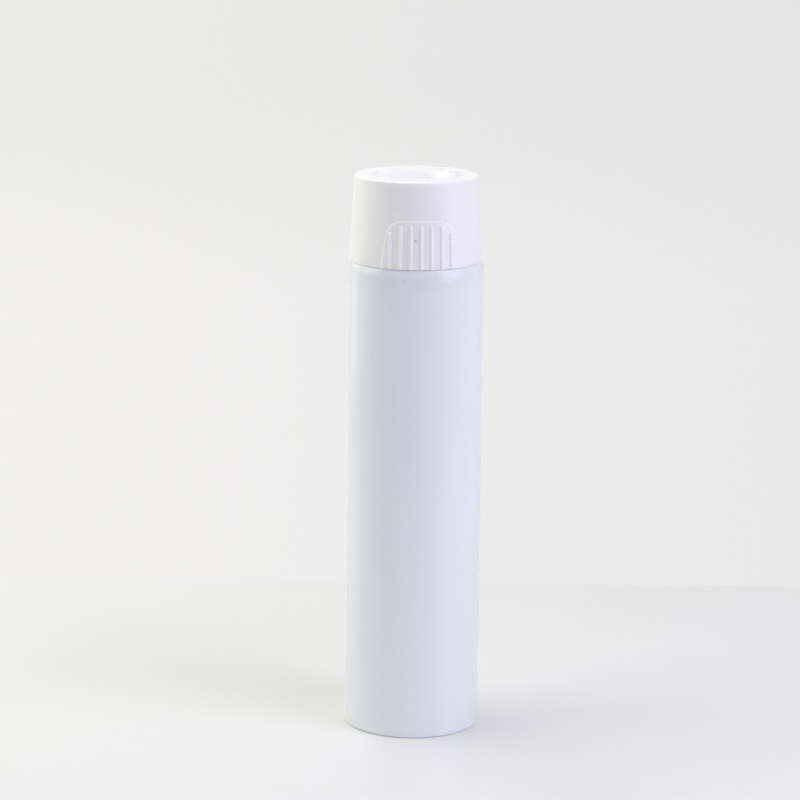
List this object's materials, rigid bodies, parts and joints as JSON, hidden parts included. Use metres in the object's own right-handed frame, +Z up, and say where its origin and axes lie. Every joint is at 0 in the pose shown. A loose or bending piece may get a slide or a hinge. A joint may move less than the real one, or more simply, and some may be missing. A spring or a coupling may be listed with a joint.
{
  "type": "laminated cosmetic tube",
  "caption": "Empty round laminate tube with an open filling end, a rounded shoulder, an orifice nozzle and a conical squeeze-and-turn screw cap with ribbed grip pads.",
  "frame": {"origin": "centre of the open filling end, on the surface that the tube stands on", "axes": "+Z up the tube's axis towards the cap, -Y out of the middle of the cap's front grip pad, +Y through the sleeve's side seam"},
  "size_m": [0.035, 0.0351, 0.1443],
  "materials": {
    "laminate": "glossy white printed-laminate web, unprinted, faintly cool",
    "head_moulding": "white polyethylene, satin",
    "cap_moulding": "white polypropylene, fine satin",
    "liner_foam": "white foamed polyethylene, matt"
  },
  "bodies": {
    "tube": {"sleeve": "laminate", "shoulder": "head_moulding"},
    "liner": {"cap_liner": "liner_foam"},
    "closure": {"cap": "cap_moulding"}
  },
  "joints": [
    {"name": "cap_lift", "type": "slide", "parent": "tube", "child": "liner", "axis": [0, 0, 1], "range_m": [0, 0.009]},
    {"name": "cap_turn", "type": "hinge", "parent": "liner", "child": "closure", "pos_m": [0, 0, 0.1335], "axis": [0, 0, 1], "range_deg": [0, 1080]}
  ],
  "couplings": [
    {"joint": "cap_lift", "follows": "cap_turn", "m_per_rad": 0.00047746}
  ]
}
